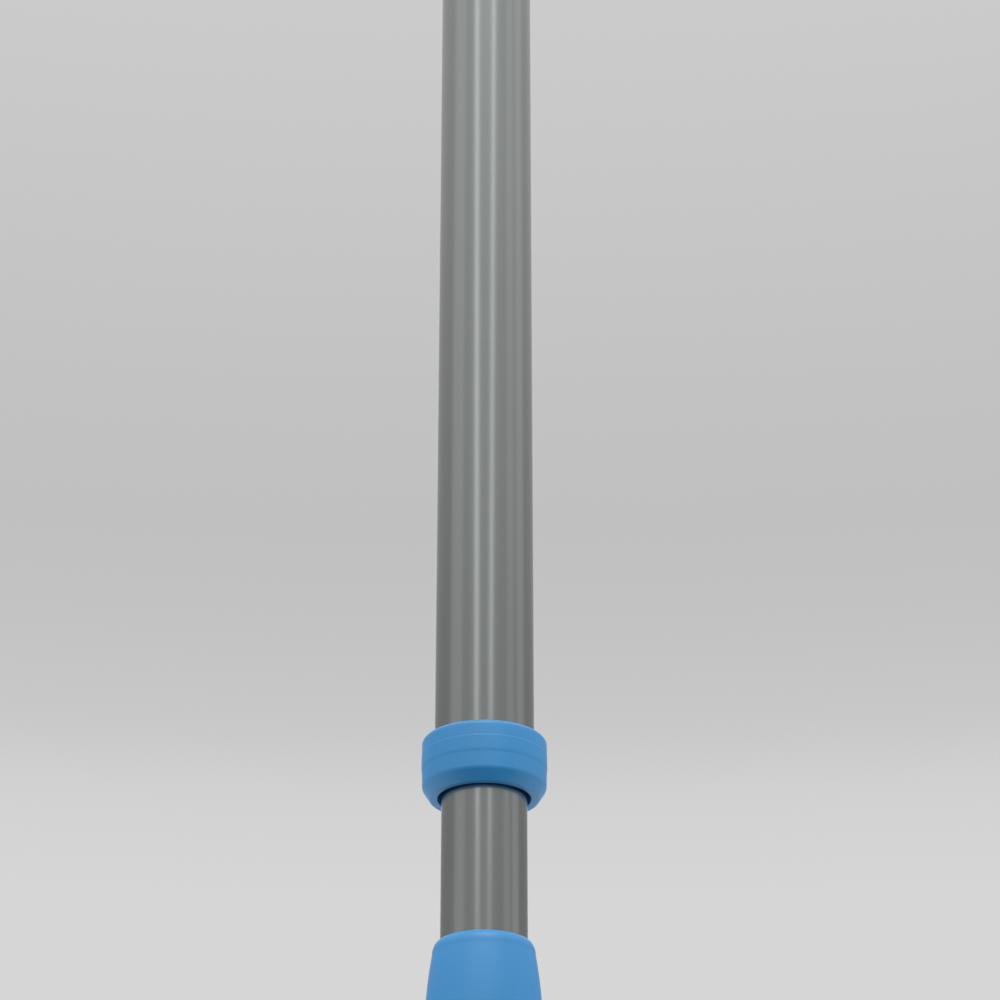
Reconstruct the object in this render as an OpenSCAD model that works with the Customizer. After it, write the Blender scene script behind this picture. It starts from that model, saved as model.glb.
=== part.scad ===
// Telescopic boat hook with an internal twist lock, drawn hanging by the eye of its butt cap.
// The pole's axis is Z, the eye's axis is Y, and the hook lies in the XZ plane, towards +X.

/* [Tubes] */
// Outside diameter of the outer tube
outer_d = 28; // [27:0.5:32]
// Wall thickness of both tubes
tube_wall = 1.2; // [1:0.1:1.5]
// Radial gap between the outer tube's bore and the inner tube
guide_gap = 0.8; // [0.7:0.05:1.1]
// Length of the outer tube
outer_len = 760; // [600:10:1200]
// Inner tube left bare between the collar and the hook head, as stored
bare_len = 41.7; // [6:0.1:60]

/* [Collar] */
// Length of the collar
collar_len = 17.4; // [16:0.1:24]
// Wall of the collar outside the outer tube, at its widest
collar_wall = 3.6; // [3:0.1:5]

/* [Butt cap and grip] */
// Radius of the hanging eye
eye_r = 5.5; // [4:0.5:7]
// Thickness of the lug around the eye
lug_t = 12; // [10:1:14]
// Length of the hand grip
grip_len = 136; // [100:6:190]
// Number of ribs on the hand grip
grip_ribs = 18; // [10:1:20]

/* [Hook head] */
// Depth of the socket that takes the inner tube
socket_depth = 52; // [44:1:56]
// Wall of the barrel-shaped neck around the inner tube, at its widest
neck_wall = 4; // [4:0.1:5]
// Radius of the hook's centreline
hook_bend_r = 27; // [25:1:30]
// Radius of the hook's round section at its root
hook_r = 7.5; // [6.5:0.1:8]
// Distance from the socket rim to the blunt nose
head_len = 175; // [170:1:190]

/* [Twist lock] */
// Thread pitch of the lock's spindle
pitch = 3; // [2:0.5:4]
// Rise of the expander cone's radius for each millimetre of its length
cone_slope = 0.18; // [0.15:0.01:0.2]

/* [Hidden] */
$fn = 96;

plastic_blue = [0.28, 0.56, 0.80];
tube_grey = [0.56, 0.58, 0.58];
lock_black = [0.12, 0.12, 0.13];
bush_grey = [0.20, 0.20, 0.21];
steel = [0.75, 0.75, 0.76];
foam_white = [0.92, 0.92, 0.90];

running = 0.06;   // radial clearance of parts that slide or turn in each other
seated = 0.03;    // radial clearance of parts that are pressed or glued together

outer_r = outer_d / 2;
outer_bore_r = outer_r - tube_wall;
inner_r = outer_bore_r - guide_gap;
inner_bore_r = inner_r - tube_wall;
inner_len = outer_len - 60;

// Heights along the pole, with the eye's centre at 0
cap_seat_z = -36;
outer_foot_z = cap_seat_z - outer_len;
mouth_depth = 4.5;
bush_flange_t = 1.5;
collar_foot_z = outer_foot_z - bush_flange_t - mouth_depth;
rim_z = collar_foot_z - bare_len;
inner_foot_z = rim_z - socket_depth;
inner_top_z = inner_foot_z + inner_len;

// A round solid from an outline of [radius, height] points.
module lathe(outline) {
    rotate_extrude() polygon(outline);
}

// Points along an arc of radius r about centre c, from one angle to another.
function arc(c, r, from, to, steps = 6) =
    [for (i = [0:steps]) let (a = from + (to - from) * i / steps) c + r * [cos(a), sin(a)]];

// A value part of the way from a to b, as t goes from 0 to 1.
function mix(a, b, t) = a + (b - a) * t;

// The same, starting and ending gently.
function ease(a, b, t) = mix(a, b, (1 - cos(180 * t)) / 2);

// A tube between two heights, with its end edges broken.
module tube(r, bore_r, foot_z, top_z) {
    chamfer = 0.25;
    lathe([
        [bore_r + chamfer, foot_z], [r - chamfer, foot_z], [r, foot_z + chamfer],
        [r, top_z - chamfer], [r - chamfer, top_z], [bore_r + chamfer, top_z],
        [bore_r, top_z - chamfer], [bore_r, foot_z + chamfer]
    ]);
}

// A plain round bar between two heights.
module bar(r, foot_z, top_z) {
    translate([0, 0, foot_z]) cylinder(r = r, h = top_z - foot_z);
}

// A bar lying along X through the pole's axis.
module cross_bar(r, length, z) {
    translate([0, 0, z]) rotate([0, 90, 0]) cylinder(r = r, h = length, center = true);
}

// ---- Handle: everything that stays with the outer tube ----

cap_r = outer_r + 3.5;
cap_flange_t = 6;
spigot_len = 36;
cap_pin_r = 2;
cap_pin_z = cap_seat_z - 20;
lug_r = 14;

// The dome that closes the pole, from the flange up to the lug.
module cap_dome() {
    dome_foot_z = cap_seat_z + cap_flange_t;
    dome_h = 17;
    edge = 1;
    lathe(concat(
        [[0, cap_seat_z], [cap_r - edge, cap_seat_z]],
        arc([cap_r - edge, cap_seat_z + edge], edge, -90, 0, 4),
        [for (i = [0:10]) let (a = 8 * i) [cap_r * cos(a), dome_foot_z + dome_h * sin(a)]],
        [[0, dome_foot_z + dome_h * sin(80)]]
    ));
}

module butt_cap() {
    spigot_wall = 3.2;
    spigot_foot_z = cap_seat_z - spigot_len;
    color(plastic_blue)
        difference() {
            union() {
                cap_dome();
                bar(outer_bore_r - seated, spigot_foot_z, cap_seat_z + 1);
                rotate([90, 0, 0]) cylinder(r = lug_r, h = lug_t, center = true);
                translate([-lug_r, -lug_t / 2, cap_seat_z + 2]) cube([2 * lug_r, lug_t, -cap_seat_z - 2]);
            }
            bar(outer_bore_r - spigot_wall, spigot_foot_z - 1, cap_seat_z - 2);
            rotate([90, 0, 0]) cylinder(r = eye_r, h = lug_t + 2, center = true);
            cross_bar(cap_pin_r + seated, outer_d + 2, cap_pin_z);
        }
}

// Spring pin that holds the cap's spigot in the outer tube, under the grip.
module cap_pin() {
    color(steel) cross_bar(cap_pin_r, outer_d - 0.3, cap_pin_z);
}

grip_body_r = outer_r + 2.6;
grip_end_r = outer_r + 4;
rib_h = 1.1;

// Ribbed grip pushed over the outer tube, with a rolled edge at each end.
module hand_grip() {
    top_z = cap_seat_z - 0.4;
    foot_z = top_z - grip_len;
    bead_len = 10;
    rib_pitch = (grip_len - 2 * bead_len) / grip_ribs;
    bore_r = outer_r + seated;
    outside = concat(
        arc([grip_end_r - 1.5, foot_z + 1.5], 1.5, -90, 0, 4),
        arc([grip_end_r - 2, foot_z + bead_len - 3], 2, 0, 60, 4),
        [for (k = [0:grip_ribs - 1], i = [0:4])
            [grip_body_r + rib_h * sin(45 * i), foot_z + bead_len + rib_pitch * (k + 0.15 + 0.7 * i / 4)]],
        arc([grip_end_r - 2, top_z - bead_len + 3], 2, -60, 0, 4),
        arc([grip_end_r - 1.5, top_z - 1.5], 1.5, 0, 90, 4)
    );
    color(plastic_blue) lathe(concat([[bore_r, foot_z]], outside, [[bore_r, top_z]]));
}

// Closed-cell foam plug behind the cap.
module outer_float() {
    top_z = cap_seat_z - spigot_len - 1;
    color(foam_white) bar(outer_bore_r - 0.1, top_z - 25, top_z);
}

module outer_tube() {
    color(tube_grey)
        difference() {
            tube(outer_r, outer_bore_r, outer_foot_z, cap_seat_z);
            cross_bar(cap_pin_r + seated, outer_d + 2, cap_pin_z);
        }
}

// Ring over the outer tube's foot, with two moulded bands, a chamfered foot and an open mouth.
module collar() {
    top_z = collar_foot_z + collar_len;
    wide_r = outer_r + collar_wall;
    upper_r = wide_r - 0.1;
    lower_r = wide_r - 0.15;
    foot_r = wide_r - 1.95;
    mouth_r = inner_r + 1;
    chamfer_h = 3.1;
    foot_edge = 0.4;
    top_edge = 1.5;
    seat_r = outer_r + seated;
    step_z = top_z - 4.8;
    groove_z = top_z - 9;
    outside = concat(
        [[mouth_r + 0.3, collar_foot_z]],
        arc([foot_r - foot_edge, collar_foot_z + foot_edge], foot_edge, -90, -32, 4),
        [[lower_r, collar_foot_z + chamfer_h], [lower_r, groove_z - 0.5]],
        [[wide_r, groove_z], [wide_r, step_z - 0.15], [upper_r, step_z]],
        arc([upper_r - top_edge, top_z - top_edge], top_edge, 0, 90, 5)
    );
    inside = [
        [seat_r + 0.3, top_z], [seat_r, top_z - 0.3], [seat_r, collar_foot_z + mouth_depth],
        [mouth_r, collar_foot_z + mouth_depth], [mouth_r, collar_foot_z + 0.3]
    ];
    color(plastic_blue) lathe(concat(outside, inside));
}

// Flanged sleeve in the outer tube's foot that the inner tube slides and turns in.
module guide_bush() {
    bush_len = 30;
    bore_r = inner_r + running;
    color(bush_grey)
        lathe([
            [bore_r, outer_foot_z - bush_flange_t], [outer_r - 0.1, outer_foot_z - bush_flange_t],
            [outer_r - 0.1, outer_foot_z], [outer_bore_r - seated, outer_foot_z],
            [outer_bore_r - seated, outer_foot_z + bush_len], [bore_r, outer_foot_z + bush_len]
        ]);
}

// ---- Twist lock: shoes that a cone spreads inside the outer tube ----

// Heights above the inner tube's top end
flange_top = 3;
seat_top = 11;
shoulder_top = 13;
shoe_foot = 13.4;
shoe_top = 39.4;
cone_foot = 20;
cone_top = 38;
spindle_top = 41;
washer_t = 1;

spindle_r = 4;
neck_groove_r = 3;
cone_foot_r = 6;
cone_gap = 0.1;
shoe_split = 2.8;
shoe_travel = 0.25;     // how far each shoe moves in when the lock is let go
ring_wire_r = 0.95;
ring_bend_r = outer_bore_r - 0.03 - ring_wire_r;
ring_heights = [17.6, 36.6];

// One half of the split sleeve, on the side of X that side gives.
module brake_shoe(side) {
    shoe_r = outer_bore_r - running;
    lip_r = neck_groove_r + shoe_travel + 0.2;
    lip_top = 16.2;
    groove_half = ring_wire_r + 0.1;
    groove_r = ring_bend_r - ring_wire_r - 0.02;
    bore_foot_r = cone_foot_r + cone_gap + cone_slope * (lip_top - cone_foot);
    bore_top_r = cone_foot_r + cone_gap + cone_slope * (shoe_top - cone_foot);
    ring_grooves = [for (z = ring_heights)
        each [[shoe_r, z - groove_half], [groove_r, z - groove_half],
              [groove_r, z + groove_half], [shoe_r, z + groove_half]]];
    outline = concat(
        [[lip_r, shoe_foot], [shoe_r, shoe_foot]],
        ring_grooves,
        [[shoe_r, shoe_top], [bore_top_r, shoe_top]],
        [[bore_foot_r, lip_top], [lip_r, lip_top]]
    );
    color(lock_black)
        translate([0, 0, inner_top_z])
            intersection() {
                lathe(outline);
                translate([side > 0 ? shoe_split / 2 : -20 - shoe_split / 2, -20, 0]) cube([20, 40, 45]);
            }
}

// Rubber ring that holds the shoes together and drags on the outer tube.
module shoe_ring(height) {
    color(lock_black)
        translate([0, 0, inner_top_z + height])
            rotate_extrude() translate([ring_bend_r, 0]) circle(r = ring_wire_r);
}

// Threaded cone, kept from turning by two fins between the shoes.
module expander_cone() {
    cone_top_r = cone_foot_r + cone_slope * (cone_top - cone_foot);
    fin_t = shoe_split - 2 * shoe_travel - 0.4;
    fin_reach = ring_bend_r - ring_wire_r - 0.4;
    color(bush_grey)
        translate([0, 0, inner_top_z])
            difference() {
                union() {
                    translate([0, 0, cone_foot])
                        cylinder(r1 = cone_foot_r, r2 = cone_top_r, h = cone_top - cone_foot);
                    translate([-fin_t / 2, -fin_reach, cone_foot + 2])
                        cube([fin_t, 2 * fin_reach, cone_top - cone_foot - 3]);
                }
                bar(spindle_r + 0.08, cone_foot - 1, cone_top + 1);
            }
}

// ---- Shaft: everything that slides and turns with the inner tube ----

plug_pin_r = 1.5;
plug_pin_z = inner_top_z - 15;
neck_r = inner_r + neck_wall;
rivet_z = rim_z - 38;
rivet_r = 2.4;
rivet_seat_y = neck_r - 0.8;

// Puts its children at the front and at the back of the neck, pointing outwards along Y.
module at_rivets() {
    for (turn = [90, -90]) translate([0, 0, rivet_z]) rotate([turn, 0, 0]) children();
}

module inner_tube() {
    color(tube_grey)
        difference() {
            tube(inner_r, inner_bore_r, inner_foot_z, inner_top_z);
            cross_bar(plug_pin_r + seated, 30, plug_pin_z);
            at_rivets() bar(rivet_r + 0.05, 5, 15);
        }
}

// Plug in the inner tube's top end, moulded in one with the lock's threaded spindle.
module lock_plug() {
    plug_len = 30;
    screw_hole_r = 1.72;
    threads = floor((spindle_top - cone_foot - 2) / pitch);
    root_r = spindle_r - 0.8;
    crest = [[root_r, 0], [spindle_r, pitch * 0.25], [spindle_r, pitch * 0.5], [root_r, pitch * 0.75]];
    thread = [for (k = [threads:-1:1], p = crest) p + [0, spindle_top - 1 - pitch * k]];
    outline = concat(
        [[0, -plug_len], [inner_bore_r - 1, -plug_len], [inner_bore_r - seated, 1 - plug_len]],
        [[inner_bore_r - seated, 0], [inner_r, 0], [inner_r, flange_top]],
        [[inner_bore_r - 0.3, flange_top], [inner_bore_r - 0.3, seat_top]],
        [[inner_r + 0.2, seat_top], [inner_r + 0.2, shoulder_top]],
        [[neck_groove_r, shoulder_top], [neck_groove_r, 16.6], [root_r, 17.2]],
        thread,
        [[root_r, spindle_top], [0, spindle_top]]
    );
    color(bush_grey)
        difference() {
            translate([0, 0, inner_top_z])
                difference() {
                    lathe(outline);
                    bar(screw_hole_r, spindle_top - 14, spindle_top + 1);
                }
            cross_bar(plug_pin_r + seated, 30, plug_pin_z);
        }
}

// Pin that carries the twist from the inner tube to the plug.
module plug_pin() {
    color(steel) cross_bar(plug_pin_r, 2 * inner_r - 0.3, plug_pin_z);
}

// Split ring on the plug that centres the inner tube's top end in the outer tube.
module tail_guide() {
    slit = 2;
    color(foam_white)
        translate([0, 0, inner_top_z])
            difference() {
                tube(outer_bore_r - running, inner_bore_r - 0.3 + seated, flange_top + 0.2, seat_top - 0.2);
                translate([0, -slit / 2, 0]) cube([20, slit, seat_top]);
            }
}

module spindle_washer() {
    color(steel)
        translate([0, 0, inner_top_z + spindle_top])
            difference() {
                cylinder(r = 7.5, h = washer_t);
                translate([0, 0, -1]) cylinder(r = 1.9, h = washer_t + 2);
            }
}

// Pan-head screw with a cross recess, in the spindle's end.
module spindle_screw() {
    head_z = spindle_top + washer_t;
    head_r = 4;
    head_h = 2.6;
    color(steel)
        translate([0, 0, inner_top_z + head_z])
            difference() {
                lathe(concat(
                    [[0, -13], [0.6, -13], [1.7, -11.5], [1.7, 0], [head_r, 0]],
                    arc([head_r - 1.6, head_h - 1.6], 1.6, 0, 90, 4),
                    [[0, head_h]]
                ));
                for (turn = [0, 90])
                    rotate([0, 0, turn]) translate([-2.2, -0.5, head_h - 1.2]) cube([4.4, 1, 2]);
            }
}

// Closed-cell foam plug that seals the inner tube above the hook head.
module inner_float() {
    color(foam_white) bar(inner_bore_r - 0.1, rivet_z + 12, rivet_z + 62);
}

// Two blind rivets through the socket and the inner tube, front and back.
module head_rivets() {
    head_r = 4;
    bulb_r = 3.2;
    bulb_y = inner_bore_r * 0.94;
    color(steel)
        at_rivets()
            lathe(concat(
                [[0, bulb_y - 2.2], [bulb_r - 0.8, bulb_y - 2.2], [bulb_r, bulb_y - 1.4]],
                [[bulb_r, bulb_y - 0.2], [rivet_r, bulb_y], [rivet_r, rivet_seat_y], [head_r, rivet_seat_y]],
                [for (a = [10:16:90]) [head_r * cos(a), rivet_seat_y + 1.5 * sin(a)]],
                [[0, rivet_seat_y + 1.5]]
            ));
}

// Depths below the socket rim, and radii, of the head's straight part
rim_edge = [2, 3.8];    // the rim's rounding, across and along the neck
neck_peak = 25.5;       // where the barrel is widest
neck_bend_r = 130;      // the barrel's lengthwise curve
neck_end = 46;
shank_start = 86;
shank_r = 10.2;
nose_ball_r = 10.5;
nose_neck_r = 8.4;

// Radius of the barrel at a depth below the socket rim.
function barrel_r(depth) = neck_r - neck_bend_r + sqrt(pow(neck_bend_r, 2) - pow(depth - neck_peak, 2));

// The straight part of the head: socket barrel, shank and blunt nose.
module head_core() {
    rim_r = barrel_r(rim_edge[1]);
    ball_depth = head_len - nose_ball_r;
    ball_join = asin(nose_neck_r / nose_ball_r);
    nose_join = ball_depth - nose_ball_r * cos(ball_join);
    depth_points = concat(
        [for (a = [90:-18:0]) [rim_r - rim_edge[0] * (1 - cos(a)), rim_edge[1] * (1 - sin(a))]],
        [for (d = [5:5:neck_end]) [barrel_r(d), d]],
        [for (t = [0:0.125:1]) [ease(barrel_r(neck_end), shank_r, t), mix(neck_end, shank_start, t)]],
        [for (t = [0.25:0.25:1]) [mix(shank_r, nose_neck_r, t), mix(shank_start, nose_join, t)]],
        [for (i = [1:8]) let (a = ball_join + (180 - ball_join) * i / 8)
            [max(0, nose_ball_r * sin(a)), ball_depth - nose_ball_r * cos(a)]]
    );
    translate([0, 0, rim_z])
        lathe(concat([[0, 0]], [for (p = depth_points) [p[0], -p[1]]]));
}

// The J-shaped hook: a half turn from the shank, a tapering leg back up and a round tip.
module hook() {
    bend_depth = 120;
    leg_len = 26;
    tip_r = 8;
    translate([hook_bend_r, 0, rim_z - bend_depth]) {
        rotate([-90, 0, 0]) rotate_extrude(angle = 180) translate([hook_bend_r, 0]) circle(r = hook_r);
        translate([hook_bend_r, 0, -0.01]) cylinder(r1 = hook_r, r2 = hook_r - 1, h = leg_len);
        translate([hook_bend_r, 0, leg_len]) sphere(r = tip_r);
        gusset();
    }
}

// Web in the crotch between the nose and the outside of the hook's bend.
module gusset() {
    web_t = 7;
    web_drop = hook_bend_r + 14;
    rotate([90, 0, 0])
        linear_extrude(height = web_t, center = true)
            difference() {
                polygon([[-hook_bend_r, 0], [-hook_bend_r, -web_drop], [-hook_bend_r * 0.25, -hook_bend_r]]);
                circle(r = hook_bend_r);
            }
}

module hook_head() {
    color(plastic_blue)
        difference() {
            union() {
                head_core();
                hook();
            }
            bar(inner_r + seated, inner_foot_z, rim_z + 1);
            at_rivets() {
                bar(rivet_r + 0.05, 5, 20);
                bar(4.3, rivet_seat_y, 20);
            }
        }
}

butt_cap();
cap_pin();
hand_grip();
outer_float();
outer_tube();
collar();
guide_bush();
brake_shoe(-1);  // brake_shoe_left
brake_shoe(1);  // brake_shoe_right
shoe_ring(ring_heights[1]);  // shoe_ring_upper
shoe_ring(ring_heights[0]);  // shoe_ring_lower
expander_cone();
inner_tube();
lock_plug();
plug_pin();
tail_guide();
spindle_washer();
spindle_screw();
inner_float();
head_rivets();
hook_head();
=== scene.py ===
import math

import bpy
import numpy as np
from mathutils import Matrix, Vector


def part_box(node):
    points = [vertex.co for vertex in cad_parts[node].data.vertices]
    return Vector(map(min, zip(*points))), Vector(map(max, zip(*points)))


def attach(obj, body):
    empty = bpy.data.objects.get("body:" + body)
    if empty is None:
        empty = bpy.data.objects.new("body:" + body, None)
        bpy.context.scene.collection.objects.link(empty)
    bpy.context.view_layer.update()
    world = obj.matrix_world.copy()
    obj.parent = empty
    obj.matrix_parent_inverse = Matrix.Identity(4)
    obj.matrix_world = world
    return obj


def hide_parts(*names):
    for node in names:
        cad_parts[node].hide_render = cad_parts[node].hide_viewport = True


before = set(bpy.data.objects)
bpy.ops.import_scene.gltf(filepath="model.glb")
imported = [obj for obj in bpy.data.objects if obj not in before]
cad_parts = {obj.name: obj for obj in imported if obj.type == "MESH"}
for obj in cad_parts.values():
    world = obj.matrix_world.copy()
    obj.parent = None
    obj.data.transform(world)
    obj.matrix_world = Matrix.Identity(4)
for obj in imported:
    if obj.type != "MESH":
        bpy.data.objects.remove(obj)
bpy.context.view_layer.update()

MM = 0.001

# ---- Sizes in millimetres, read from the frame where it has them ----


def low(node, axis):
    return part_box(node)[0][axis] / MM


def high(node, axis):
    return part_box(node)[1][axis] / MM


X, Y, Z = 0, 1, 2
TUBE_WALL = 1.2
SEATED = 0.03  # gap between pieces that are pressed or glued together
OUTER_R = high("outer_tube", X)
OUTER_FOOT = low("outer_tube", Z)
OUTER_TOP = high("outer_tube", Z)
OUTER_BORE_R = OUTER_R - TUBE_WALL
INNER_R = high("inner_tube", X)
INNER_FOOT = low("inner_tube", Z)
INNER_TOP = high("inner_tube", Z)
INNER_BORE_R = INNER_R - TUBE_WALL
COLLAR_FOOT = low("collar", Z)
COLLAR_TOP = high("collar", Z)
COLLAR_R = high("collar", X)
CAP_R = high("butt_cap", X)
CAP_SEAT = OUTER_TOP
GRIP_FOOT = low("hand_grip", Z)
GRIP_TOP = high("hand_grip", Z)
GRIP_END_R = high("hand_grip", X)
RIM = high("hook_head", Z)
NOSE = low("hook_head", Z)
RIVET_Z = (low("head_rivets", Z) + high("head_rivets", Z)) / 2
RIVET_OUT = high("head_rivets", Y)

# ---- Node helpers for materials ----


def new_material(name):
    material = bpy.data.materials.new(name)
    material.use_nodes = True
    return material, material.node_tree.nodes, material.node_tree.links


def set_inputs(node, **values):
    """Sets sockets by name, with underscores for spaces."""
    for key, value in values.items():
        node.inputs[key.replace("_", " ")].default_value = value


def coordinates(nodes, links, stretch=(1, 1, 1)):
    """The row frame's own coordinates, in millimetres, stretched."""
    position = nodes.new("ShaderNodeTexCoord")
    mapping = nodes.new("ShaderNodeMapping")
    mapping.inputs["Scale"].default_value = [s / MM for s in stretch]
    links.new(position.outputs["Object"], mapping.inputs["Vector"])
    return mapping.outputs["Vector"]


def noise(nodes, links, vector, scale, detail=3.0, roughness=0.5):
    texture = nodes.new("ShaderNodeTexNoise")
    set_inputs(texture, Scale=scale, Detail=detail, Roughness=roughness)
    links.new(vector, texture.inputs["Vector"])
    return texture.outputs["Fac"]


def colour_ramp(nodes, links, value, stops):
    """Maps a value to colours given as (position, (r, g, b))."""
    ramp = nodes.new("ShaderNodeValToRGB")
    elements = ramp.color_ramp.elements
    while len(elements) < len(stops):
        elements.new(0.5)
    for element, (position, colour) in zip(elements, stops):
        element.position = position
        element.color = (*colour, 1)
    links.new(value, ramp.inputs["Fac"])
    return ramp.outputs["Color"]


def remap(nodes, links, value, low_out, high_out, low_in=0.0, high_in=1.0):
    """Maps a value that runs from low_in to high_in, so that it runs from low_out to high_out."""
    node = nodes.new("ShaderNodeMapRange")
    for socket, number in zip(("From Min", "From Max", "To Min", "To Max"),
                              (low_in, high_in, low_out, high_out)):
        node.inputs[socket].default_value = number
    links.new(value, node.inputs["Value"])
    return node.outputs["Result"]


def math_node(nodes, links, operation, first, second=0.0):
    node = nodes.new("ShaderNodeMath")
    node.operation = operation
    for socket, value in zip(node.inputs, (first, second)):
        if isinstance(value, (int, float)):
            socket.default_value = value
        else:
            links.new(value, socket)
    return node.outputs["Value"]


def bump(nodes, links, height, depth_mm, normal=None):
    """Surface relief: height 0 to 1 stands for depth_mm."""
    node = nodes.new("ShaderNodeBump")
    node.inputs["Distance"].default_value = depth_mm * MM
    links.new(height, node.inputs["Height"])
    if normal is not None:
        links.new(normal, node.inputs["Normal"])
    return node.outputs["Normal"]


# ---- Materials ----


def tint(colour, factor):
    return tuple(min(1.0, c * factor) for c in colour)


def moulded_plastic(name, colour, roughness, grain_mm=0.35, grain_depth=0.03, parting_line=False):
    """Matte moulded plastic: spark-eroded grain, faint flow marks and, if asked, a parting line
    where Y is 0."""
    material, nodes, links = new_material(name)
    shader = nodes["Principled BSDF"]
    where = coordinates(nodes, links)
    flow = noise(nodes, links, coordinates(nodes, links, (1, 1, 0.25)), 0.06, 4.0, 0.6)
    grain = noise(nodes, links, where, 1 / grain_mm, 2.0, 0.6)
    tone = colour_ramp(nodes, links, flow, [(0.3, tint(colour, 0.94)), (0.7, tint(colour, 1.06))])
    links.new(tone, shader.inputs["Base Color"])
    spread = 0.06
    gloss = remap(nodes, links, grain, roughness - spread, roughness + spread, 0.3, 0.7)
    links.new(gloss, shader.inputs["Roughness"])
    relief = bump(nodes, links, grain, grain_depth)
    if parting_line:
        split = nodes.new("ShaderNodeSeparateXYZ")
        links.new(where, split.inputs["Vector"])
        ridge_top, ridge_foot, ridge_height = 0.05, 0.22, 0.07
        off_line = math_node(nodes, links, "ABSOLUTE", split.outputs["Y"])
        ridge = remap(nodes, links, off_line, 1.0, 0.0, ridge_top, ridge_foot)
        relief = bump(nodes, links, ridge, ridge_height, relief)
    links.new(relief, shader.inputs["Normal"])
    set_inputs(shader, Specular_IOR_Level=0.9)
    return material


def anodised(name, colour, roughness):
    """Drawn and anodised aluminium: faint lines along the tube and an uneven satin oxide."""
    material, nodes, links = new_material(name)
    shader = nodes["Principled BSDF"]
    lines = noise(nodes, links, coordinates(nodes, links, (1, 1, 0.004)), 3.0, 3.0, 0.6)
    cloud = noise(nodes, links, coordinates(nodes, links, (1, 1, 0.2)), 0.05, 3.0, 0.5)
    oxide = noise(nodes, links, coordinates(nodes, links), 5.0, 2.0, 0.5)
    shade = colour_ramp(nodes, links, cloud, [(0.3, tint(colour, 0.98)), (0.7, tint(colour, 1.02))])
    streak = nodes.new("ShaderNodeMix")
    streak.data_type = "RGBA"
    streak.blend_type = "MULTIPLY"
    streak.inputs["Factor"].default_value = 1.0
    pale = remap(nodes, links, lines, 0.985, 1.015, 0.3, 0.7)
    links.new(shade, streak.inputs["A"])
    links.new(pale, streak.inputs["B"])
    links.new(streak.outputs["Result"], shader.inputs["Base Color"])
    spread = 0.02
    gloss = remap(nodes, links, oxide, roughness - spread, roughness + spread, 0.3, 0.7)
    links.new(gloss, shader.inputs["Roughness"])
    line_depth, oxide_depth = 0.0001, 0.0002
    relief = bump(nodes, links, lines, line_depth)
    relief = bump(nodes, links, oxide, oxide_depth, relief)
    links.new(relief, shader.inputs["Normal"])
    set_inputs(shader, Metallic=1.0)
    return material


def worked_steel(name, colour, roughness):
    """Bright steel with fine scratches."""
    material, nodes, links = new_material(name)
    shader = nodes["Principled BSDF"]
    scratches = noise(nodes, links, coordinates(nodes, links, (1, 0.15, 1)), 9.0, 3.0, 0.7)
    stops = [(0.3, tint(colour, 0.85)), (0.7, tint(colour, 1.1))]
    tone = colour_ramp(nodes, links, scratches, stops)
    links.new(tone, shader.inputs["Base Color"])
    gloss = remap(nodes, links, scratches, roughness - 0.08, roughness + 0.1, 0.3, 0.7)
    links.new(gloss, shader.inputs["Roughness"])
    links.new(bump(nodes, links, scratches, 0.004), shader.inputs["Normal"])
    set_inputs(shader, Metallic=1.0)
    return material


def cell_foam(name, colour):
    """Closed-cell foam: a pebbled skin of small cells, with painted shade in the dips between them.
    """
    material, nodes, links = new_material(name)
    shader = nodes["Principled BSDF"]
    cells = nodes.new("ShaderNodeTexVoronoi")
    set_inputs(cells, Scale=0.9)
    links.new(coordinates(nodes, links), cells.inputs["Vector"])
    distance = cells.outputs["Distance"]
    # painted shade: the colour darkens towards each cell's edge, where the relief dips
    tone = colour_ramp(nodes, links, distance, [(0.0, colour), (1.0, tint(colour, 0.75))])
    links.new(tone, shader.inputs["Base Color"])
    links.new(bump(nodes, links, distance, -0.15), shader.inputs["Normal"])
    set_inputs(shader, Roughness=0.85)
    return material


def soft_rubber(name, colour):
    """Black rubber with a dusty bloom."""
    material, nodes, links = new_material(name)
    shader = nodes["Principled BSDF"]
    bloom = noise(nodes, links, coordinates(nodes, links), 1.5, 4.0, 0.6)
    tone = colour_ramp(nodes, links, bloom, [(0.35, colour), (0.75, tint(colour, 2.2))])
    links.new(tone, shader.inputs["Base Color"])
    links.new(remap(nodes, links, bloom, 0.55, 0.75), shader.inputs["Roughness"])
    links.new(bump(nodes, links, bloom, 0.01), shader.inputs["Normal"])
    return material


PLASTIC_BLUE = (0.038, 0.405, 0.92)
BLUE_ROUGHNESS = 0.42
BLUE = moulded_plastic("moulded_blue", PLASTIC_BLUE, BLUE_ROUGHNESS)
BLUE_SEAMED = moulded_plastic("moulded_blue_seamed", PLASTIC_BLUE, BLUE_ROUGHNESS,
                              parting_line=True)
TUBE = anodised("anodised_grey", (0.36, 0.38, 0.375), 0.22)
DARK_NYLON = moulded_plastic("dark_nylon", (0.022, 0.022, 0.024), 0.5, 0.25, 0.02)
LOCK_BLACK = moulded_plastic("lock_black", (0.008, 0.008, 0.009), 0.42, 0.25, 0.015)
ACETAL = moulded_plastic("white_acetal", (0.72, 0.72, 0.67), 0.38, 0.25, 0.01)
STEEL = worked_steel("bright_steel", (0.62, 0.62, 0.63), 0.32)
FOAM = cell_foam("closed_cell_foam", (0.80, 0.80, 0.77))
RUBBER = soft_rubber("ring_rubber", (0.012, 0.012, 0.012))

# ---- Mesh helpers: outlines are [radius, height] in millimetres ----


def shade(mesh, sharp_angle):
    """Smooth shading, but for edges that turn by more than an angle in degrees."""
    mesh.shade_smooth()
    mesh.set_sharp_from_angle(angle=math.radians(sharp_angle))


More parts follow.
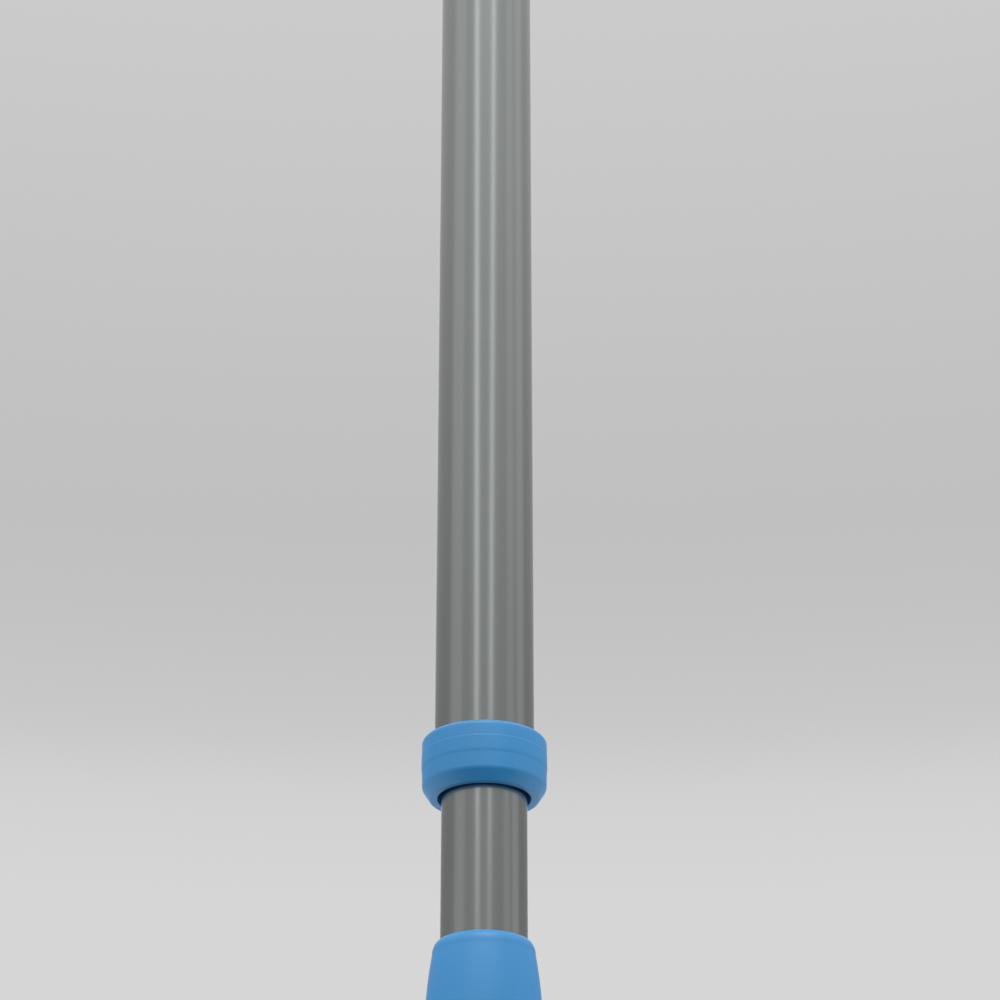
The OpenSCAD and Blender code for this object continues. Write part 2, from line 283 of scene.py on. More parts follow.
def make_piece(name, points, faces, material):
    """A smooth-shaded object from points in millimetres."""
    mesh = bpy.data.meshes.new(name)
    mesh.from_pydata([Vector(p) * MM for p in points], [], faces)
    mesh.validate()
    mesh.materials.append(material)
    shade(mesh, 35)
    piece = bpy.data.objects.new(name, mesh)
    bpy.context.scene.collection.objects.link(piece)
    return piece


def rounded(corners, steps=6):
    """An outline from (radius, height, fillet) corners, each turned with an arc of its fillet."""
    outline = []
    for i, (r, z, fillet) in enumerate(corners):
        corner = Vector((r, z))
        if fillet == 0:
            outline.append(corner)
            continue
        before = (Vector(corners[i - 1][:2]) - corner).normalized()
        after = (Vector(corners[(i + 1) % len(corners)][:2]) - corner).normalized()
        half = before.angle(after) / 2
        centre = corner + (before + after).normalized() * fillet / math.sin(half)
        start = corner + before * fillet / math.tan(half) - centre
        turn = start.angle_signed(corner + after * fillet / math.tan(half) - centre)
        for k in range(steps + 1):
            outline.append(centre + Matrix.Rotation(-turn * k / steps, 2) @ start)
    return outline


ON_AXIS = 1e-6


def revolve_data(outline, segments):
    """Points and faces of an outline turned about Z. An outline that starts and ends on the axis is
    closed by its poles; any other is closed by joining its ends."""
    points, rings = [], []
    for r, z in outline:
        if r < ON_AXIS:
            rings.append([len(points)] * segments)
            points.append((0, 0, z))
            continue
        rings.append(list(range(len(points), len(points) + segments)))
        angles = (2 * math.pi * k / segments for k in range(segments))
        points += [(r * math.cos(a), r * math.sin(a), z) for a in angles]
    has_poles = outline[0][0] < ON_AXIS and outline[-1][0] < ON_AXIS
    pairs = list(zip(rings, rings[1:] if has_poles else rings[1:] + rings[:1]))
    faces = []
    for lower, upper in pairs:
        for k in range(segments):
            n = (k + 1) % segments
            ring = dict.fromkeys((lower[k], lower[n], upper[n], upper[k]))
            faces.append(tuple(ring))
    return points, faces


def revolve(name, outline, material, segments=160):
    """A piece turned about the pole's axis; its outline runs up the outside and down the inside."""
    return make_piece(name, *revolve_data(outline, segments), material)


def place(piece, body, node):
    """Says which body a piece rides on, which CAD node it replaces."""
    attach(piece, body)
    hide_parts(node)


# ---- Tubes ----


def tube(name, outer_r, bore_r, foot, top):
    edge = 0.3
    corners = [(bore_r, foot), (outer_r, foot), (outer_r, top), (bore_r, top)]
    outline = rounded([(r, z, edge) for r, z in corners])
    return revolve(name, outline, TUBE)


def build_tubes():
    outer = tube("outer_tube_drawn", OUTER_R, OUTER_BORE_R, OUTER_FOOT, OUTER_TOP)
    inner = tube("inner_tube_drawn", INNER_R, INNER_BORE_R, INNER_FOOT, INNER_TOP)
    place(outer, "handle", "outer_tube")
    place(inner, "shaft", "inner_tube")


# ---- Collar ----


def build_collar():
    """Two soft bands with a shallow step between them, a faint line round the upper one, a
    chamfered foot and an open mouth. Each corner is (radius, height, fillet)."""
    seat_r = OUTER_R + SEATED
    mouth_r = INNER_R + 1.0
    seat_z = COLLAR_FOOT + 4.5
    chamfer_z = COLLAR_FOOT + 3.25
    step_z = COLLAR_TOP - 9.3
    line_z = COLLAR_TOP - 4.75
    line_half = 0.18
    corners = [
        (mouth_r, COLLAR_FOOT, 0.35),
        (COLLAR_R - 2.35, COLLAR_FOOT, 0.6),
        (COLLAR_R - 0.24, chamfer_z, 2.2),
        (COLLAR_R - 0.14, step_z - 0.25, 0.3),
        (COLLAR_R, step_z + 0.55, 7.5),
        (COLLAR_R - 0.02, line_z - line_half, 0.2),
        (COLLAR_R - 0.08, line_z + line_half, 0.2),
        (COLLAR_R - 0.10, COLLAR_TOP, 1.5),
        (seat_r, COLLAR_TOP, 0.3),
        (seat_r, seat_z, 0),
        (mouth_r, seat_z, 0),
    ]
    collar = revolve("collar_moulded", rounded(corners), BLUE, 192)
    place(collar, "handle", "collar")


# ---- Hook head ----

SOCKET_R = INNER_R + SEATED
NECK_R = high("hook_head", Y)
NECK_PEAK = 25.5
NECK_BEND_R = 130.0
NECK_END = 46.0
SHANK_START = 86.0
SHANK_R = 10.2
NOSE_BALL_R = 10.5
NOSE_NECK_R = 8.4
RIM_EDGE = 2.0
RIM_EDGE_DEPTH = 3.8
HOOK_BEND_R = 27.0
HOOK_R = 7.5
HOOK_BEND_DEPTH = 120.0
HOOK_LEG = 26.0
TIP_R = 8.0
WEB_T = 7.0
HEAD_LEN = RIM - NOSE
RIVET_SEAT = NECK_R - 0.8


def barrel_r(depth):
    """Radius of the neck's barrel at a depth below the rim."""
    return NECK_R - NECK_BEND_R + math.sqrt(NECK_BEND_R ** 2 - (depth - NECK_PEAK) ** 2)


def ease(a, b, t):
    return a + (b - a) * (1 - math.cos(math.pi * t)) / 2


BALL_DEPTH = HEAD_LEN - NOSE_BALL_R
BALL_JOIN = math.asin(NOSE_NECK_R / NOSE_BALL_R)
NOSE_JOIN = BALL_DEPTH - NOSE_BALL_R * math.cos(BALL_JOIN)


def core_r(depth):
    """Radius of the head's straight core at a depth below the rim: barrel, shank, nose."""
    if depth <= RIM_EDGE_DEPTH:
        rise = 1 - depth / RIM_EDGE_DEPTH
        return barrel_r(RIM_EDGE_DEPTH) - RIM_EDGE * (1 - math.sqrt(max(0.0, 1 - rise ** 2)))
    if depth <= NECK_END:
        return barrel_r(depth)
    if depth <= SHANK_START:
        return ease(barrel_r(NECK_END), SHANK_R, (depth - NECK_END) / (SHANK_START - NECK_END))
    if depth <= NOSE_JOIN:
        return SHANK_R + (NOSE_NECK_R - SHANK_R) * (depth - SHANK_START) / (NOSE_JOIN - SHANK_START)
    return math.sqrt(max(0.0, NOSE_BALL_R ** 2 - (depth - BALL_DEPTH) ** 2))


def core_outline():
    """The core's outline from the rim's middle down to the tip of the nose."""
    rim_angles = np.radians(range(0, 90, 10))
    rim_depths = [RIM_EDGE_DEPTH * (1 - math.cos(a)) for a in rim_angles]
    straight_depths = np.linspace(RIM_EDGE_DEPTH, NOSE_JOIN, 140)
    ball_angles = np.linspace(math.pi - BALL_JOIN, 0, 24)[1:]
    ball_depths = [BALL_DEPTH + NOSE_BALL_R * math.cos(a) for a in ball_angles]
    depths = [*rim_depths, *straight_depths, *ball_depths[:-1]]
    return [(0, RIM)] + [(core_r(d), RIM - d) for d in depths] + [(0, NOSE)]


def sweep(name, path, material, sides=48):
    """A round bar with flat ends along a path in the XZ plane, given as (x, z, radius)."""
    points, faces = [], []
    sideways = Vector((0, 1, 0))
    for i, (x, z, radius) in enumerate(path):
        before = path[max(0, i - 1)]
        after = path[min(len(path) - 1, i + 1)]
        along = Vector((after[0] - before[0], 0, after[1] - before[1])).normalized()
        across = sideways.cross(along)
        for k in range(sides):
            a = 2 * math.pi * k / sides
            outwards = math.cos(a) * across + math.sin(a) * sideways
            points.append(Vector((x, 0, z)) + radius * outwards)
    for i in range(len(path) - 1):
        for k in range(sides):
            n = (k + 1) % sides
            faces.append((i * sides + k, i * sides + n, (i + 1) * sides + n, (i + 1) * sides + k))
    faces.append(tuple(range(sides))[::-1])
    faces.append(tuple((len(path) - 1) * sides + k for k in range(sides)))
    return make_piece(name, points, faces, material)


def hook_path():
    """The J: from inside the shank round the bend, up the leg and over the domed tip."""
    centre_z = RIM - HOOK_BEND_DEPTH
    path = []
    bend_steps = 48
    root_share = 0.45
    root_swell = 2.0
    for i in range(bend_steps + 1):
        a = math.radians(180 + 180 * i / bend_steps)
        root = max(0.0, 1 - i / (bend_steps * root_share))
        x = HOOK_BEND_R + HOOK_BEND_R * math.cos(a)
        z = centre_z + HOOK_BEND_R * math.sin(a)
        path.append((x, z, HOOK_R + root_swell * root ** 2))
    tip_z = centre_z + HOOK_LEG
    leg_taper = 1.0
    ball_join = math.asin((HOOK_R - leg_taper) / TIP_R)
    leg_end = tip_z - TIP_R * math.cos(ball_join)
    leg_steps = 8
    for i in range(1, leg_steps + 1):
        t = i / leg_steps
        z = centre_z + (leg_end - centre_z) * t
        path.append((2 * HOOK_BEND_R, z, HOOK_R - leg_taper * t))
    dome_steps = 16
    for i in range(1, dome_steps):
        a = ball_join + (math.pi - ball_join) * i / dome_steps
        path.append((2 * HOOK_BEND_R, tip_z - TIP_R * math.cos(a), TIP_R * math.sin(a)))
    return path


def slab(name, outline, thickness, material):
    """A plate in the XZ plane with a convex outline of (x, z) points, centred on Y = 0."""
    n = len(outline)
    points = [(x, y, z) for y in (-thickness / 2, thickness / 2) for x, z in outline]
    faces = [tuple(range(n)), tuple(range(2 * n - 1, n - 1, -1))]
    faces += [(k, k + n, (k + 1) % n + n, (k + 1) % n) for k in range(n)]
    return make_piece(name, points, faces, material)


def web_outline():
    """The web in the crotch between the nose and the outside of the bend. The bend's side is
    given in bend radii, out from the pole's axis and down from the bend's centre."""
    centre_z = RIM - HOOK_BEND_DEPTH
    drop = HOOK_BEND_R + 14
    shank_x = 2.0
    shank_side = [(shank_x, centre_z), (shank_x, centre_z - drop)]
    bend_side = [(0.75, 1.0), (0.35, 0.7)]
    return shank_side + [(HOOK_BEND_R * x, centre_z - HOOK_BEND_R * down) for x, down in bend_side]


def applied_mesh(piece, name):
    """A copy of a piece's mesh with its modifiers applied."""
    graph = bpy.context.evaluated_depsgraph_get()
    mesh = bpy.data.meshes.new_from_object(piece.evaluated_get(graph))
    mesh.name = name
    return mesh


def combine(piece, others, operation):
    """Adds closed meshes to a piece (UNION) or takes them away from it (DIFFERENCE), for good."""
    for other in others:
        step = piece.modifiers.new("combine", "BOOLEAN")
        step.operation = operation
        step.solver = "EXACT"
        step.object = other
    old = piece.data
    piece.data = applied_mesh(piece, old.name)
    piece.modifiers.clear()
    bpy.data.meshes.remove(old)
    for other in others:
        bpy.data.objects.remove(other)


def fuse(name, parts, voxel_mm, material):
    """Joins closed parts into one skin of even small faces."""
    piece = parts[0]
    piece.name = name
    combine(piece, parts[1:], "UNION")
    remesh = piece.modifiers.new("remesh", "REMESH")
    remesh.mode = "VOXEL"
    remesh.voxel_size = voxel_mm * MM
    piece.data = applied_mesh(piece, name)
    piece.modifiers.clear()
    piece.data.materials.clear()
    piece.data.materials.append(material)
    return piece


def coords_of(mesh):
    flat = np.empty(len(mesh.vertices) * 3, dtype=np.float64)
    mesh.vertices.foreach_get("co", flat)
    return flat.reshape(-1, 3) / MM


def set_coords(mesh, coords):
    mesh.vertices.foreach_set("co", (coords * MM).astype(np.float32).ravel())
    mesh.update()


def relax(mesh, weights, rounds):
    """Smooths a mesh by moving each vertex towards the mean of its neighbours, by its weight."""
    edges = np.empty(len(mesh.edges) * 2, dtype=np.int64)
    mesh.edges.foreach_get("vertices", edges)
    first, second = edges.reshape(-1, 2).T
    coords = coords_of(mesh)
    size = len(coords)
    count = np.bincount(first, minlength=size) + np.bincount(second, minlength=size)
    for _ in range(rounds):
        total = np.zeros_like(coords)
        np.add.at(total, first, coords[second])
        np.add.at(total, second, coords[first])
        coords += weights[:, None] * (total / count[:, None] - coords)
    set_coords(mesh, coords)


def lying_along_y(piece, z, sign=1):
    """Turns a piece made about Z so that its axis lies along Y, at a height z."""
    turn = Matrix.Rotation(-sign * math.pi / 2, 4, "X")
    piece.data.transform(Matrix.Translation((0, 0, z * MM)) @ turn)


def pull_to_outline(mesh, outline, low_z, high_z, reach=1.5):
    """Moves the skin between two heights onto an outline turned about Z, so that it is truly
    round. Skin further from the outline than reach stays where it is."""
    coords = coords_of(mesh)
    between = np.flatnonzero((coords[:, 2] > low_z) & (coords[:, 2] < high_z))
    radius = np.hypot(coords[between, 0], coords[between, 1])
    place_rz = np.stack([radius, coords[between, 2]], axis=1)
    ends = np.array(outline, dtype=float)
    best = np.full(len(between), np.inf)
    wanted = place_rz.copy()
    for start, stop in zip(ends, ends[1:]):
        along = stop - start
        t = np.clip((place_rz - start) @ along / (along @ along), 0, 1)
        nearest = start + t[:, None] * along
        gap = np.hypot(*(place_rz - nearest).T)
        closer = gap < best
        best[closer] = gap[closer]
        wanted[closer] = nearest[closer]
    near = best < reach
    chosen = between[near]
    factor = wanted[near, 0] / np.maximum(radius[near], ON_AXIS)
    coords[chosen, :2] *= factor[:, None]
    coords[chosen, 2] = wanted[near, 1]
    set_coords(mesh, coords)


def rivet_hole(sign):
    """Cutter for one rivet's hole and its spot face."""
    shank_r = 2.45
    spot_r = 4.3
    inside, outside = 5, 22
    outline = [(0, inside), (shank_r, inside), (shank_r, RIVET_SEAT), (spot_r, RIVET_SEAT),
               (spot_r, outside), (0, outside)]
    hole = revolve("rivet_cutter", outline, BLUE_SEAMED, 48)
    lying_along_y(hole, RIVET_Z, sign)
    return hole


def build_hook_head():
    """Neck, shank and nose fused with the hook and its web, blended where they meet."""
    outline = core_outline()
    core = revolve("head_core", outline[::-1], BLUE_SEAMED, 128)
    hook = sweep("head_hook", hook_path(), BLUE_SEAMED)
    web = slab("head_web", web_outline(), WEB_T, BLUE_SEAMED)
    voxel = 0.55
    head = fuse("hook_head_moulded", [core, hook, web], voxel, BLUE_SEAMED)
    blend_start = 92
    blend_len = 12
    depth = RIM - coords_of(head.data)[:, 2]
    blend = np.clip((depth - blend_start) / blend_len, 0, 1)
    relax(head.data, 0.5 * blend, rounds=24)
    overlap = 4
    pull_to_outline(head.data, outline, RIM - blend_start - overlap, RIM + 1)

    past_rim = RIM + 5
    socket_outline = [(0, INNER_FOOT), (SOCKET_R, INNER_FOOT), (SOCKET_R, past_rim), (0, past_rim)]
    socket = revolve("socket_cutter", socket_outline, BLUE_SEAMED, 128)
    combine(head, [socket, rivet_hole(1), rivet_hole(-1)], "DIFFERENCE")
    shade(head.data, 40)
    place(head, "shaft", "hook_head")


def build_rivets():
    """Two pulled blind rivets: domed heads with the mandrel's stub sunk in them, and set bulbs."""
    shank_r = 2.4
    head_r = 4.0
    bulb_r = 3.2
    bulb_y = INNER_BORE_R * 0.94
    bulb_foot = bulb_y - 2.2
    hole_r = 1.15
    hole_floor = RIVET_OUT - 0.9
    stub_top = hole_floor + 0.5
    crown_h = 1.5
    crown = [(head_r * math.cos(a), RIVET_SEAT + crown_h * math.sin(a))
             for a in np.radians(range(8, 71, 6))]
    bulb = [(0, bulb_foot), (bulb_r - 0.8, bulb_foot), (bulb_r, bulb_y - 1.4),
            (bulb_r, bulb_y - 0.2)]
    shank = [(shank_r, bulb_y), (shank_r, RIVET_SEAT), (head_r, RIVET_SEAT)]
    mandrel_hole = [(hole_r + 0.1, RIVET_OUT - 0.04), (hole_r, RIVET_OUT - 0.2),
                    (hole_r, hole_floor)]
    mandrel_stub = [(hole_r - 0.15, hole_floor), (hole_r - 0.3, hole_floor + 0.35), (0, stub_top)]
    outline = [*bulb, *shank, *crown, *mandrel_hole, *mandrel_stub]
    points, faces = revolve_data(outline, 48)
    count = len(points)
    behind = [(x, r, RIVET_Z - y) for x, y, r in points]
    before = [(x, -r, RIVET_Z + y) for x, y, r in points]
    both_faces = faces + [tuple(i + count for i in face) for face in faces]
    rivets = make_piece("head_rivets_pulled", behind + before, both_faces, STEEL)
    place(rivets, "shaft", "head_rivets")


# ---- Butt cap and grip ----

EYE_R = 5.5
LUG_R = high("butt_cap", Z)
LUG_T = 12.0
CAP_FLANGE_T = 6.0
CAP_DOME_H = 17.0
SPIGOT_FOOT = low("butt_cap", Z)
SPIGOT_R = OUTER_BORE_R - SEATED
SPIGOT_INSET = 3.2  # from the tube's bore in to the spigot's
SPIGOT_BORE_R = OUTER_BORE_R - SPIGOT_INSET
CAP_PIN_Z = (low("cap_pin", Z) + high("cap_pin", Z)) / 2
CAP_PIN_R = (high("cap_pin", Z) - low("cap_pin", Z)) / 2


def cap_outline():
    """The cap's dome, from the middle of its seat round the flange to its crown."""
    edge = 1.0
    dome_foot = CAP_SEAT + CAP_FLANGE_T
    foot_edge = [(CAP_R - edge + edge * math.sin(a), CAP_SEAT + edge - edge * math.cos(a))
                 for a in np.radians(range(0, 91, 15))]
    dome = [(CAP_R * math.cos(a), dome_foot + CAP_DOME_H * math.sin(a))
            for a in np.radians(range(0, 90, 4))]
    return [(0, CAP_SEAT), *foot_edge, *dome, (0, dome_foot + CAP_DOME_H)]


def lug_block():
    """The lug round the eye: a thick tongue with a round top and soft edges."""
    foot = CAP_SEAT + 4
    soft_edge = 1.8
    crown = [(LUG_R * math.cos(a), LUG_R * math.sin(a)) for a in np.radians(range(0, 181, 6))]
    lug = slab("cap_lug", [(LUG_R, foot), *crown, (-LUG_R, foot)], LUG_T, BLUE_SEAMED)
    soften = lug.modifiers.new("soften", "BEVEL")
    soften.width = soft_edge * MM
    soften.segments = 5
    soften.angle_limit = math.radians(50)
    lug.data = applied_mesh(lug, "cap_lug")
    lug.modifiers.clear()
    return lug


def eye_cutter():
    """The eye's bore, with its edges turned out at both faces."""
    flare = 1.3
    half = LUG_T / 2
    mouth = [(EYE_R + flare * (1 - math.cos(a)), half - flare + flare * math.sin(a))
             for a in np.radians(range(0, 91, 15))]
    beyond = half + 2
    upper = [*mouth, (EYE_R + flare, beyond), (0, beyond)]
    lower = [(r, -y) for r, y in upper[::-1]]
    cutter = revolve("eye_cutter", lower + upper, BLUE_SEAMED, 96)
    lying_along_y(cutter, 0)
    return cutter


def pin_cutter(radius, z):
    """A bar along X through the pole's axis."""
    reach = 20
    outline = [(0, -reach), (radius, -reach), (radius, reach), (0, reach)]
    cutter = revolve("pin_cutter", outline, BLUE_SEAMED, 48)
    turn = Matrix.Rotation(math.pi / 2, 4, "Y")
    cutter.data.transform(Matrix.Translation((0, 0, z * MM)) @ turn)
    return cutter


def build_butt_cap():
    """Dome and lug melted into each other, with the hanging eye and the hollow spigot."""
    dome = revolve("cap_dome", cap_outline(), BLUE_SEAMED, 128)
    voxel = 0.5
    cap = fuse("butt_cap_moulded", [dome, lug_block()], voxel, BLUE_SEAMED)
    crotch_foot, crotch_top, fade = -27, -4, 4
    height = coords_of(cap.data)[:, 2]
    rising = np.clip((height - crotch_foot) / fade, 0, 1)
    falling = np.clip((crotch_top - height) / fade, 0, 1)
    relax(cap.data, 0.1 + 0.4 * (rising * falling), rounds=14)
    round_below = CAP_SEAT + 12
    pull_to_outline(cap.data, cap_outline(), CAP_SEAT - 1, round_below)
    edge = 1.0
    in_flange = CAP_SEAT + 1
    spigot_outline = [(0, SPIGOT_FOOT), (SPIGOT_R - edge, SPIGOT_FOOT),
                      (SPIGOT_R, SPIGOT_FOOT + edge), (SPIGOT_R, in_flange), (0, in_flange)]
    combine(cap, [revolve("cap_spigot", spigot_outline, BLUE_SEAMED, 128)], "UNION")
    hollow_foot, hollow_top = SPIGOT_FOOT - 2, CAP_SEAT - 2
    hollow_outline = [(0, hollow_foot), (SPIGOT_BORE_R, hollow_foot), (SPIGOT_BORE_R, hollow_top),
                      (0, hollow_top)]
    hollow = revolve("cap_hollow", hollow_outline, BLUE_SEAMED, 96)
    pin_hole = pin_cutter(CAP_PIN_R + SEATED, CAP_PIN_Z)
    combine(cap, [hollow, eye_cutter(), pin_hole], "DIFFERENCE")
    shade(cap.data, 40)
    place(cap, "handle", "butt_cap")


def build_grip():
    """Ribbed grip with a rolled bead at each end. Four smooth lands run along it, where the ribs
    fade out."""
    ribs = 18
    bead_len = 10.0
    body_r = OUTER_R + 2.6
    rib_h = 1.1
    rib_share = 0.72
    rib_start = 0.14
    rib_fullness = 0.7
    pitch = (GRIP_TOP - GRIP_FOOT - 2 * bead_len) / ribs
    bore_r = OUTER_R + SEATED
    bead = [(bore_r, 0, 0.3), (GRIP_END_R, 0, 1.6),
            (GRIP_END_R, bead_len - 2.5, 1.8), (body_r, bead_len - 0.5, 0.8)]
    foot_bead = [(r, GRIP_FOOT + height, edge) for r, height, edge in bead]
    top_bead = [(r, GRIP_TOP - height, edge) for r, height, edge in bead[::-1]]
    ribbed_foot = GRIP_FOOT + bead_len
    ribbed = [(body_r + rib_h * math.sin(math.pi * t) ** rib_fullness,
               ribbed_foot + pitch * (k + rib_start + rib_share * t))
              for k in range(ribs) for t in np.linspace(0, 1, 9)]
    beads = rounded(foot_bead + top_bead)
    half = len(beads) // 2
    outline = [*beads[:half], *ribbed, *beads[half:]]
    points, faces = revolve_data(outline, 192)
    coords = np.array([tuple(p) for p in points])
    radius = np.hypot(coords[:, 0], coords[:, 1])
    angle = np.arctan2(coords[:, 1], coords[:, 0])
    height = coords[:, 2]
    on_ribs = (height > ribbed_foot) & (height < GRIP_TOP - bead_len) & (radius > body_r)
    off_land = np.abs((angle / (math.pi / 2) + 0.5) % 1 - 0.5) * 90
    land_half, fade_degrees = 7, 7
    fade = np.clip((off_land - land_half) / fade_degrees, 0, 1)
    fade = fade * fade * (3 - 2 * fade)
    wanted = np.where(on_ribs, body_r + (radius - body_r) * fade, radius)
    coords[:, :2] *= (wanted / radius)[:, None]
    grip = make_piece("hand_grip_ribbed", coords, faces, BLUE)
    place(grip, "handle", "hand_grip")


# ---- Camera, world, lights and floor; the lights and the floor are set in metres ----

CAMERA_FORWARD = 797.7
CAMERA_BELOW_COLLAR = 304.5
CAMERA_ASIDE = 4.37
CAMERA_TILT = 26.5
LENS = 110.0


def build_camera():
    """The camera stands in front of the pole, below the collar, and looks up."""
    data = bpy.data.cameras.new("camera")
    data.lens = LENS
    data.clip_start = 0.01
    data.clip_end = 300
    camera = bpy.data.objects.new("camera", data)
    bpy.context.scene.collection.objects.link(camera)
    height = COLLAR_FOOT - CAMERA_BELOW_COLLAR
    camera.location = Vector((CAMERA_ASIDE, -CAMERA_FORWARD, height)) * MM
    tilt = math.radians(CAMERA_TILT)
    gaze = Vector((0, math.cos(tilt), math.sin(tilt)))
    camera.rotation_euler = gaze.to_track_quat("-Z", "Y").to_euler()
    bpy.context.scene.camera = camera


def grey(level):
    return (level, level, level)


def grey_sky(nodes, links, height, stops):
    """Greys by height in the sky, from (elevation in degrees, level) stops. Height 0 is straight
    down and 1 is straight up."""
    places = [(math.sin(math.radians(elevation)) + 1) / 2 for elevation, level in stops]
    levels = [grey(level) for elevation, level in stops]
    return colour_ramp(nodes, links, height, list(zip(places, levels)))


# Greys as (elevation in degrees, level)
SEEN_BY_CAMERA = (
    (-20, 0.62), (14, 0.676), (19, 0.672), (20.9, 0.642), (22.2, 0.578), (24.3, 0.541),
    (26, 0.527), (28.4, 0.539), (36, 0.60),
)
SKY_LIGHT = ((-12, 0.22), (5, 0.26), (17, 0.33), (25, 0.46), (35, 0.60), (55, 0.78))


def low_glow(nodes, links, towards_back, up, mirrored):
    """Extra light from before the pole, and from low down beside and behind it. The part from
    before the pole is weaker in reflections, so that it lifts the plastic more than the tubes."""
    glow_before, unmirrored_gain = 0.14, 2.8
    glow_beside = 0.32
    before = remap(nodes, links, towards_back, glow_before, 0.0, -1.0, 0.0)
    gain = remap(nodes, links, mirrored, unmirrored_gain, 1.0)
    before = math_node(nodes, links, "MULTIPLY", before, gain)
    beside = remap(nodes, links, towards_back, 0.0, glow_beside, -0.6, 0.0)
    low_down = remap(nodes, links, up, 1.0, 0.0, 0.08, 0.26)
    beside = math_node(nodes, links, "MULTIPLY", beside, low_down)
    return math_node(nodes, links, "ADD", before, beside)


def ground_light(nodes, links, towards_back, mirrored):
    """Light from the ground: pale beside and behind the pole, and none before it, or a little in
    reflections."""
    pale, mirrored_lift = 0.70, 0.12
    ground = remap(nodes, links, towards_back, 0.0, pale, -0.55, 0.1)
    lift = math_node(nodes, links, "MULTIPLY", mirrored, mirrored_lift)
    return math_node(nodes, links, "ADD", ground, lift)


def above_ground(nodes, links, up, mirrored):
    """0 towards the ground and 1 towards the sky. In reflections the ground starts lower, so that
    the tubes stay pale from above too."""
    horizon = remap(nodes, links, up, 0.0, 1.0, -0.10, 0.05)
    mirrored_horizon = remap(nodes, links, up, 0.0, 1.0, -0.55, -0.38)
    mirrored_horizon = math_node(nodes, links, "MULTIPLY", mirrored, mirrored_horizon)
    return math_node(nodes, links, "MAXIMUM", horizon, mirrored_horizon)


def build_world():
    """A pale studio. The camera sees a plain gradient. What lights the object is bright overhead,
    pale low down beside and behind the pole, and darkest on the ground before it."""
    world = bpy.data.worlds.new("studio")
    world.use_nodes = True
    bpy.context.scene.world = world
    nodes, links = world.node_tree.nodes, world.node_tree.links
    nodes.clear()
    direction = nodes.new("ShaderNodeTexCoord")
    split = nodes.new("ShaderNodeSeparateXYZ")
    links.new(direction.outputs["Generated"], split.inputs["Vector"])
    towards_back, up = split.outputs["Y"], split.outputs["Z"]
    path = nodes.new("ShaderNodeLightPath")
    mirrored = path.outputs["Is Glossy Ray"]
    height = remap(nodes, links, up, 0.0, 1.0, -1.0, 1.0)
    seen = grey_sky(nodes, links, height, SEEN_BY_CAMERA)
    sky = grey_sky(nodes, links, height, SKY_LIGHT)
    glow = low_glow(nodes, links, towards_back, up, mirrored)
    lights = nodes.new("ShaderNodeMix")
    lights.data_type = "RGBA"
    links.new(above_ground(nodes, links, up, mirrored), lights.inputs["Factor"])
    links.new(ground_light(nodes, links, towards_back, mirrored), lights.inputs["A"])
    links.new(math_node(nodes, links, "ADD", sky, glow), lights.inputs["B"])
    shown = nodes.new("ShaderNodeBackground")
    lit = nodes.new("ShaderNodeBackground")
    links.new(seen, shown.inputs["Color"])
    links.new(lights.outputs["Result"], lit.inputs["Color"])
    mix = nodes.new("ShaderNodeMixShader")
    links.new(path.outputs["Is Camera Ray"], mix.inputs["Fac"])
    links.new(lit.outputs["Background"], mix.inputs[1])
    links.new(shown.outputs["Background"], mix.inputs[2])
    output = nodes.new("ShaderNodeOutputWorld")
    links.new(mix.outputs["Shader"], output.inputs["Surface"])


def area_light(name, size, power):
    data = bpy.data.lights.new(name, "AREA")
    data.shape = "RECTANGLE"
    data.size, data.size_y = size
    data.energy = power
    light = bpy.data.objects.new(name, data)
    light.visible_camera = False
    bpy.context.scene.collection.objects.link(light)
    return light


def aim(light, azimuth, elevation, distance, target):
    """Places a light round a target and turns it there. Azimuth 0 is the camera's side of the
    pole, positive to the right."""
    a = math.radians(azimuth)
    e = math.radians(elevation)
    outwards = Vector((math.cos(e) * math.sin(a), -math.cos(e) * math.cos(a), math.sin(e)))
    light.location = target + distance * outwards
    light.rotation_euler = (-outwards).to_track_quat("-Z", "Y").to_euler()


PANEL_DISTANCE = 1.5
PANELS = (
    # name, azimuth, middle height, width, height, lean, radiance
    ("strip_left", -22.5, 0.4, 0.25, 1.7, 10, 0.80),
    ("strip_left_foot", -13.5, -0.95, 0.25, 1.0, 10, 0.30),
    ("strip_right", 19.5, 0.4, 0.23, 1.7, -10, 0.70),
    ("strip_right_foot", 10.5, -0.95, 0.23, 1.0, -10, 0.20),
    ("fill_left", -68, 0.1, 0.85, 2.3, 0, 0.17),
    ("fill_right", 62, 0.1, 0.5, 2.3, 0, 0.15),
    ("fill_far_right", 90, 0.1, 0.6, 2.3, 0, 0.21),
    ("back_left", -164, 0.0, 0.25, 2.4, 0, 0.55),
    ("back_right", 167, 0.0, 0.22, 2.4, 0, 0.5),
)
SOFT_BOX_DISTANCE = 1.8
SOFT_BOXES = (
    # name, azimuth, elevation, width, height, power
    ("soft_box_front", 5, 57, 1.0, 0.35, 5),
    ("soft_box_back", 180, 74, 1.0, 0.6, 5),
)


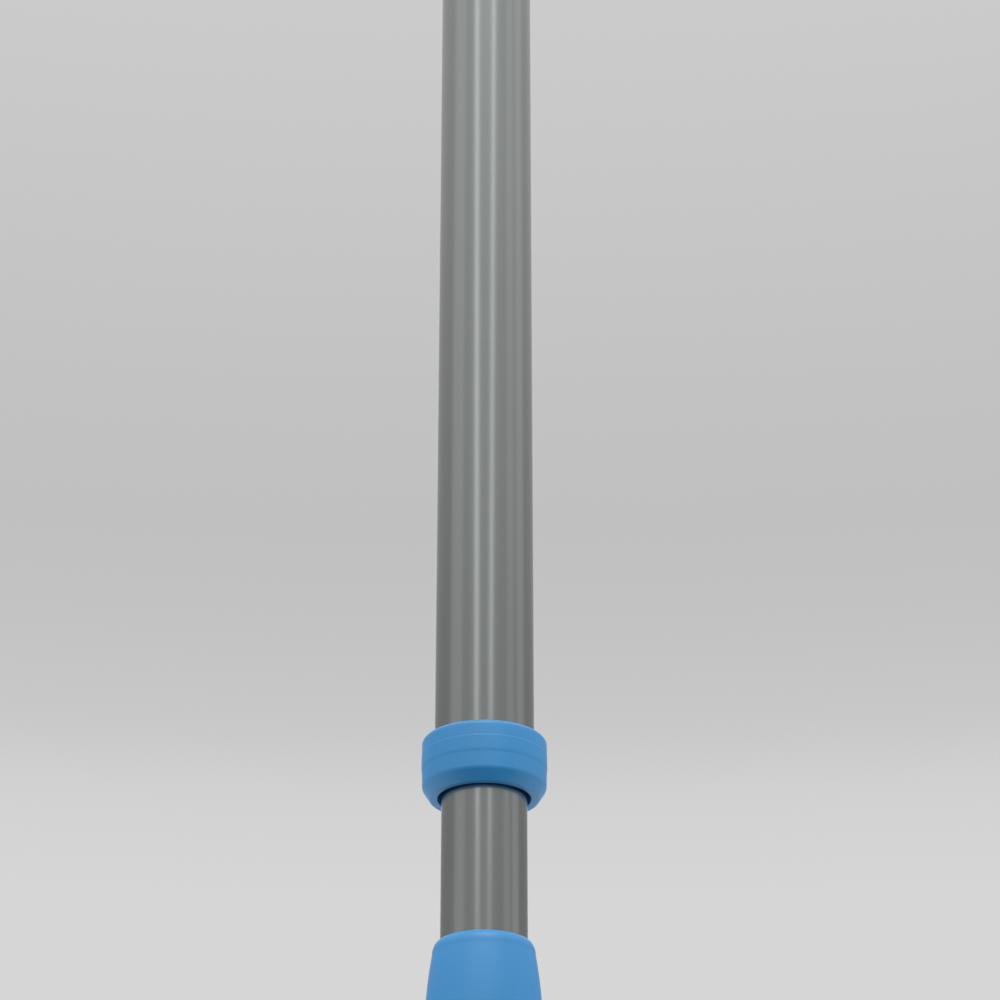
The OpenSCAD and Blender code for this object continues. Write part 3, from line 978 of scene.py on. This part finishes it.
def build_lights():
    """Upright panels stand round the pole; soft boxes hang high before and behind it."""
    for name, azimuth, middle, width, height, lean, radiance in PANELS:
        panel = area_light(name, (width, height), math.pi * width * height * radiance)
        aim(panel, azimuth, 0, PANEL_DISTANCE, Vector((0, 0, middle)))
        panel.rotation_euler.rotate_axis("Z", math.radians(lean))
    collar = Vector((0, 0, COLLAR_FOOT * MM))
    for name, azimuth, elevation, width, height, power in SOFT_BOXES:
        box = area_light(name, (width, height), power)
        aim(box, azimuth, elevation, SOFT_BOX_DISTANCE, collar)


def build_floor():
    """A pale floor, far enough below the hanging pole to see it from below too. Only the camera
    sees it; the world lights the object from below."""
    reach = 120.0
    level = -6.0
    corners = [(x * reach, y * reach, level) for x, y in ((-1, -1), (1, -1), (1, 1), (-1, 1))]
    material, nodes, links = new_material("floor_paper")
    shader = nodes["Principled BSDF"]
    mottle = noise(nodes, links, coordinates(nodes, links), 0.002, 3.0)
    tone = colour_ramp(nodes, links, mottle, [(0.3, grey(0.74)), (0.7, grey(0.77))])
    links.new(tone, shader.inputs["Base Color"])
    set_inputs(shader, Roughness=0.9)
    mesh = bpy.data.meshes.new("floor")
    mesh.from_pydata(corners, [], [(0, 1, 2, 3)])
    mesh.materials.append(material)
    floor = bpy.data.objects.new("floor", mesh)
    floor.visible_diffuse = False
    floor.visible_glossy = False
    bpy.context.scene.collection.objects.link(floor)


# ---- Carried-over CAD pieces ----

FINISHES = {
    "cap_pin": STEEL, "outer_float": FOAM, "guide_bush": DARK_NYLON,
    "brake_shoe_left": LOCK_BLACK, "brake_shoe_right": LOCK_BLACK,
    "shoe_ring_upper": RUBBER, "shoe_ring_lower": RUBBER, "expander_cone": DARK_NYLON,
    "lock_plug": DARK_NYLON, "plug_pin": STEEL, "tail_guide": ACETAL,
    "spindle_washer": STEEL, "spindle_screw": STEEL, "inner_float": FOAM,
}


def finish_cad_pieces():
    """Gives each CAD node that is kept its own material."""
    for node, material in FINISHES.items():
        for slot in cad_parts[node].material_slots:
            slot.material = material


build_camera()
build_world()
build_lights()
build_floor()
finish_cad_pieces()
build_tubes()
build_collar()
build_hook_head()
build_rivets()
build_butt_cap()
build_grip()
bpy.context.scene.view_settings.view_transform = "Standard"
